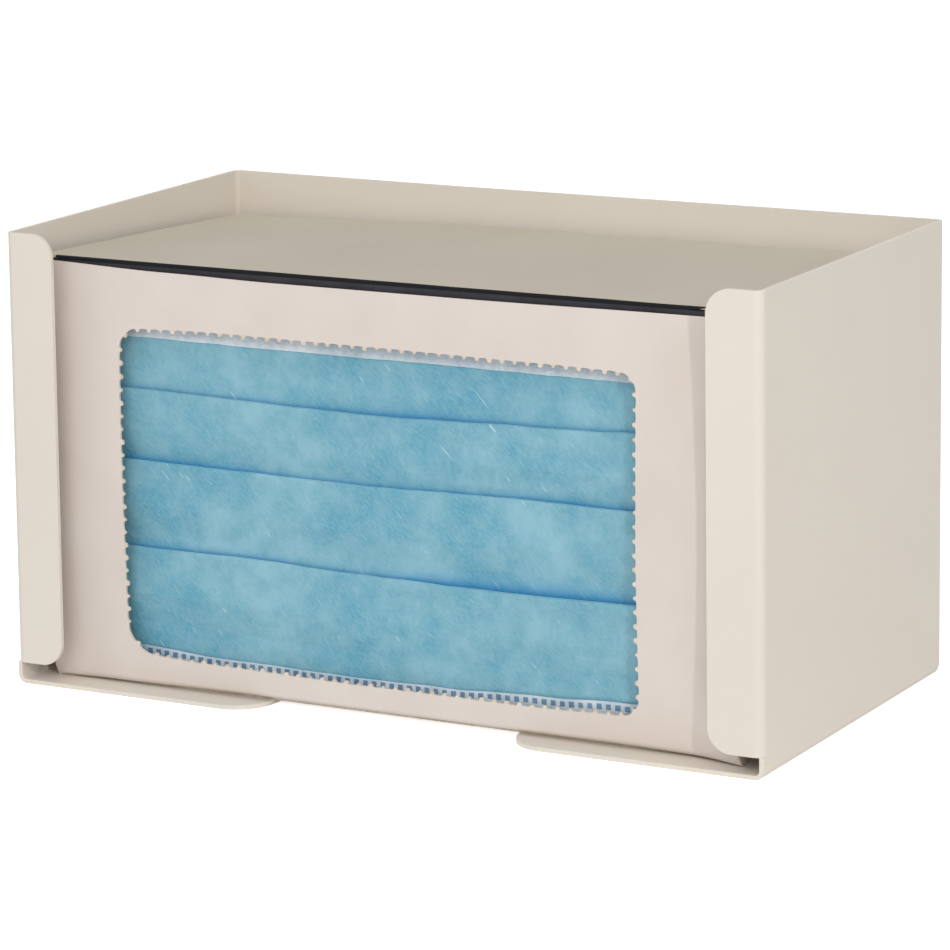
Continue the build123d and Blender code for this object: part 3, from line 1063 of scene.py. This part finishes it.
def make_shell(material):
    """The folded shell with the small rounding that paint gives its edges.

    Its large faces are cut across at several levels, so that they can follow the left wall's lean.
    """
    edge_radius = 0.22
    shell = frame["nodes"]["dispenser_shell"].copy()
    shell.data = shell.data.copy()
    shell.name = "shell_painted"
    for key in list(shell.keys()):
        del shell[key]
    shell.parent = None
    bpy.context.scene.collection.objects.link(shell)
    merged = bmesh.new()
    merged.from_mesh(shell.data)
    bmesh.ops.remove_doubles(merged, verts=merged.verts, dist=0.0005 * MM)
    bmesh.ops.dissolve_limit(merged, angle_limit=radians(0.6), verts=merged.verts, edges=merged.edges)
    for normal, levels in (
        (Vector((0, 0, 1)), (20, 40, 60, 80, 98)),
        (Vector((0, 1, 0)), (-35, -15, 5, 25, 42)),
        (Vector((1, 0, 0)), (-80, -55, -30)),
    ):
        for level in levels:
            parts = list(merged.verts) + list(merged.edges) + list(merged.faces)
            cut = normal * level * MM
            bmesh.ops.bisect_plane(merged, geom=parts, plane_co=cut, plane_no=normal, dist=0.01 * MM)
    for vert in merged.verts:
        vert.co = bend_shell(vert.co / MM) * MM
    merged.to_mesh(shell.data)
    merged.free()
    bevel = shell.modifiers.new("edges", "BEVEL")
    bevel.limit_method = "ANGLE"
    bevel.angle_limit = radians(35)
    bevel.width = edge_radius * MM
    bevel.segments = 2
    bake_modifiers(shell)
    shell.data.materials.clear()
    shell.data.materials.append(material)
    smooth_by_angle(shell, 32)
    weighted = shell.modifiers.new("normals", "WEIGHTED_NORMAL")
    weighted.keep_sharp = True
    bake_modifiers(shell)
    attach(shell, DISPENSER)
    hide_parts("dispenser_shell")


# Camera, lights and floor

view_azimuth = radians(28.493)
view_elevation = radians(12.633)
view_roll = radians(-0.927)
view_distance = 1118.7
view_target = Vector((-0.47, 0.0, 51.68))
view_lens = 171.72
floor_lift = 0.7
floor_size = 12000.0
# A painted pool of glow on the floor, seen by no camera ray, that lights the object's lower parts from the
# front right
pool_centre = Vector((90.0, -130.0, 0.0))
pool_radius = 420.0
pool_strength = 0.2
world_strength = 0.4

# Name, azimuth and elevation in degrees, distance and size in millimetres, power in watts
lamps = (
    ("key_light", 48, 23, 1500, 60, 4.2),
    ("front_fill", 8, 32, 1800, 1300, 7.9),
    ("right_fill", 82, 30, 1800, 900, 3.5),
    ("left_fill", -60, 20, 1800, 1000, 3.4),
    ("top_fill", 10, 70, 1600, 1000, 3.2),
)


def make_camera():
    az, el = view_azimuth, view_elevation
    back = Vector((sin(az) * cos(el), -cos(az) * cos(el), sin(el)))
    level_right = Vector((cos(az), sin(az), 0.0))
    level_up = back.cross(level_right)
    right = level_right * cos(view_roll) + level_up * sin(view_roll)
    up = level_up * cos(view_roll) - level_right * sin(view_roll)
    data = bpy.data.cameras.new("photo_view")
    data.lens = view_lens
    data.sensor_width = 36.0
    data.clip_end = 100.0
    camera = bpy.data.objects.new("photo_view", data)
    bpy.context.scene.collection.objects.link(camera)
    turn = Matrix((right, up, back)).transposed().to_4x4()
    camera.matrix_world = Matrix.Translation((view_target + back * view_distance) * MM) @ turn
    bpy.context.scene.camera = camera


def area_light(name, azimuth, elevation, distance, size, power):
    """A square lamp that looks at the object's middle from a direction."""
    az, el = radians(azimuth), radians(elevation)
    direction = Vector((sin(az) * cos(el), -cos(az) * cos(el), sin(el)))
    data = bpy.data.lights.new(name, "AREA")
    data.size = size * MM
    data.energy = power
    lamp = bpy.data.objects.new(name, data)
    bpy.context.scene.collection.objects.link(lamp)
    lamp.location = (Vector((0, 0, 50)) + direction * distance) * MM
    lamp.rotation_euler = direction.to_track_quat("Z", "Y").to_euler()


def make_stage():
    world = bpy.data.worlds.new("white studio")
    bpy.context.scene.world = world
    world.use_nodes = True
    w = Wiring(world.node_tree)
    world.node_tree.nodes.clear()
    path = w.add("ShaderNodeLightPath")
    through = w.math("MAXIMUM", path.outputs["Is Glossy Ray"], path.outputs["Is Transmission Ray"])
    direct = w.math("MAXIMUM", path.outputs["Is Camera Ray"], through)
    strength = w.span(direct, 0.0, 1.0, world_strength, 1.0)
    glow = w.add("ShaderNodeBackground", {"Color": (1.0, 1.0, 1.0, 1.0), "Strength": strength})
    w.add("ShaderNodeOutputWorld", {"Surface": glow.outputs["Background"]})
    half = floor_size / 2
    corners = [(-half, -half, 0), (half, -half, 0), (half, half, 0), (-half, half, 0)]
    floor = mesh_piece("studio_floor", corners, [(0, 1, 2, 3)])
    floor.data.materials.append(floor_white())
    for lamp in lamps:
        area_light(*lamp)
    bpy.context.scene.view_settings.view_transform = "Standard"


make_camera()
make_stage()

# Satin powder coat with a faint orange peel, and the wire's coat
paint = grained("beige powder coat", 0.42, 0.4, 1800.0, 14.0, (226, 218, 206), (223, 214, 202), 0.1, 0.012)
wire = grained("coated nose wire", 0.4, 0.5, 800.0, 80.0, (222, 224, 226), (208, 210, 214), 0.1, 0.01)

# The carton's matt printed face, a little pink, its lid's face, the same board painted darker and greyer as
# painted shade of the lid's less lit top, its unprinted back and its edges
face_print = grained(
    "matt white board face", 0.7, 0.25, 2200.0, 45.0, (222, 211, 203), (218, 206, 197), 0.18, 0.01
)
# Painted shade: the lid's top takes the front's board colour, made darker and greyer for the lesser light
# it gets
lid_print_painted_shade = grained(
    "matt grey white board face", 0.7, 0.2, 2400.0, 20.0, (204, 196, 180), (200, 191, 175), 0.12, 0.01
)
inside = grained("grey board back", 0.85, 0.15, 600.0, 90.0, (196, 184, 166), (176, 163, 145), 0.35, 0.05)
cut_edge = grained("cut board edge", 0.9, 0.1, 2500.0, 300.0, (232, 218, 203), (206, 188, 168), 0.3, 0.08)
dark_print_and_shade = fold_print_and_shade()
blue, white = blue_nonwoven(), white_nonwoven()

make_shell(paint)
make_carton((face_print, inside, cut_edge))
make_lid((lid_print_painted_shade, inside, cut_edge, dark_print_and_shade, inside, cut_edge, cut_edge, cut_edge))
mask, mask_flat = make_front_mask((blue, white, white))
make_welds(weld_blue())

stack_cloth, elastic = stack_nonwoven(), elastic_knit()
for name, node in frame["nodes"].items():
    if name.startswith("mask_") and name != "mask_carton":
        finish = stack_cloth
    elif name.startswith("ear_loop"):
        finish = elastic
    elif name == "nose_wire":
        finish = wire
    else:
        continue
    node.data.materials.clear()
    node.data.materials.append(finish)
